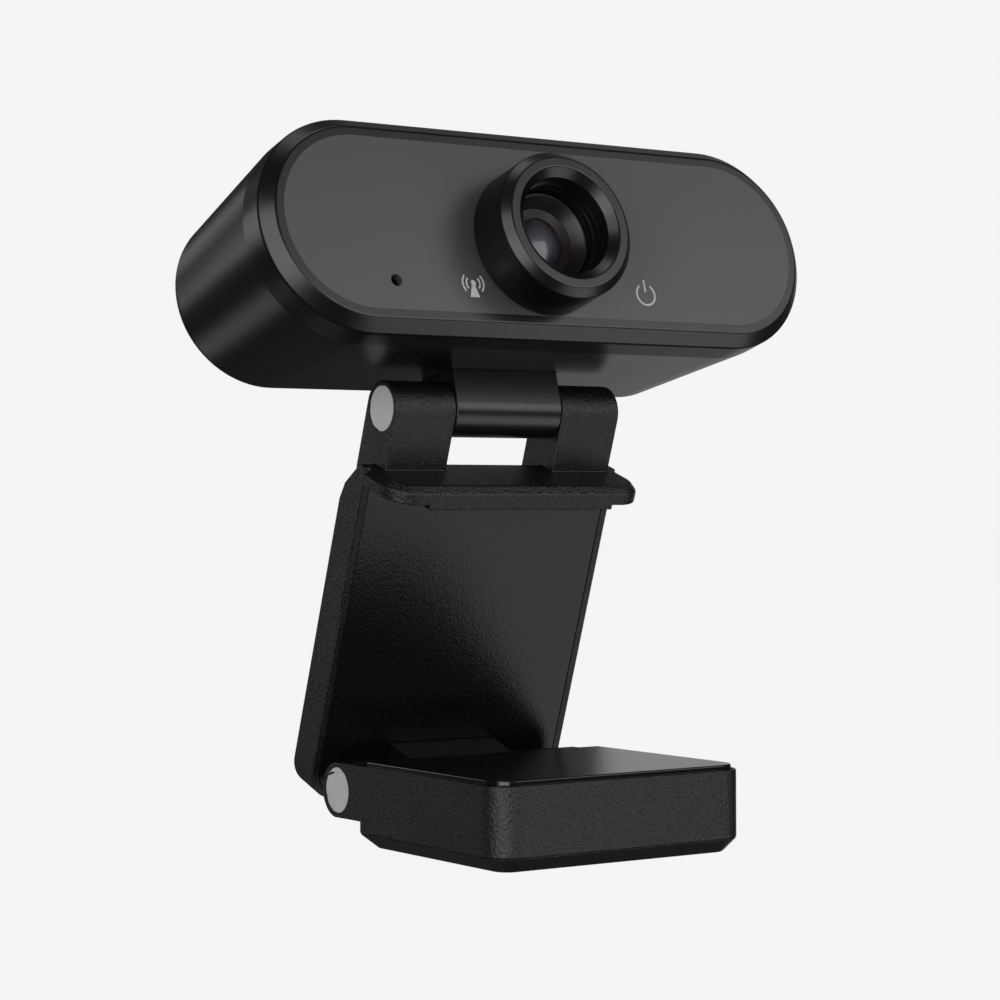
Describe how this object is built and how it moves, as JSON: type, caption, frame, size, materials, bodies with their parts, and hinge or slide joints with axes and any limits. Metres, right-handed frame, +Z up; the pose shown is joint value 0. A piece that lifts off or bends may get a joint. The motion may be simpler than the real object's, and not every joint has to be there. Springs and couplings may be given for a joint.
{
  "type": "webcam on folding clip stand",
  "caption": "Pill-shaped video-call camera with a proud focus ring, tilting on a flat arm with a hooked ledge and a folding weighted foot.",
  "frame": {"origin": "on the plane the foot stands on, in the middle of the overall box as it stands", "axes": "+Z up, +X to the right of someone facing the lens, the camera looks along -Y and tips up"},
  "size_m": [0.1, 0.059, 0.1099],
  "materials": {
    "case_plastic": "satin black moulding",
    "arm_plastic": "fine-grained black moulding",
    "panel_plastic": "smooth dark grey",
    "ring_plastic": "satin black",
    "lens_black": "black anodised look",
    "pad_rubber": "smooth soft pad",
    "steel": "plain",
    "brass": "turned",
    "icon_plastic": "light grey translucent",
    "clear_plastic": "frosted clear",
    "board": "solder-masked board",
    "chip": "moulded package",
    "header": "ivory moulding",
    "glass": "coated optical glass",
    "filter_glass": "reddish filter glass",
    "coating": "purple-red ring"
  },
  "bodies": {
    "foot": {"foot_shell": "arm_plastic", "foot_cover": "arm_plastic", "foot_pad": "pad_rubber", "foot_weight": "steel", "tripod_insert": "brass", "foot_screws": "steel", "foot_pin": "steel", "foot_pin_cap": "steel", "foot_washers": "steel"},
    "arm": {"arm_shell": "arm_plastic", "arm_cover": "arm_plastic", "arm_pad": "pad_rubber", "ledge_pad": "pad_rubber", "arm_screws": "steel", "tilt_pin": "steel", "tilt_pin_cap": "steel", "tilt_washers": "steel"},
    "head": {"rear_case": "case_plastic", "front_bezel": "case_plastic", "front_panel": "panel_plastic", "neck": "arm_plastic", "neck_screws": "steel", "case_screws": "steel", "main_board": "board", "board_screws": "steel", "image_processor": "chip", "shield_can": "steel", "cable_header": "header", "status_leds": "header", "image_sensor": "chip", "infrared_filter": "filter_glass", "lens_holder": "lens_black", "microphone": "steel", "microphone_boot": "pad_rubber", "microphone_icon": "icon_plastic", "power_icon": "icon_plastic", "microphone_light_guide": "clear_plastic", "power_light_guide": "clear_plastic", "cable_grommet": "pad_rubber"},
    "ring": {"focus_ring": "ring_plastic", "ring_clip": "steel", "drive_oring": "pad_rubber", "lens_barrel": "lens_black", "lens_retainer": "coating", "front_lens": "glass", "rear_lens": "glass"}
  },
  "joints": [
    {"name": "fold_hinge", "type": "hinge", "parent": "foot", "child": "arm", "pos_m": [0, 0.01587, 0.0083], "axis": [1, 0, 0], "range_deg": [-35, 70]},
    {"name": "tilt_hinge", "type": "hinge", "parent": "arm", "child": "head", "pos_m": [0, 0.005, 0.06777], "axis": [1, 0, 0], "range_deg": [-45, 35]},
    {"name": "focus_turn", "type": "hinge", "parent": "head", "child": "ring", "pos_m": [-0.0031, -0.0115, 0.09258], "axis": [0, -0.9613, 0.2756], "range_deg": [-170, 170]}
  ]
}
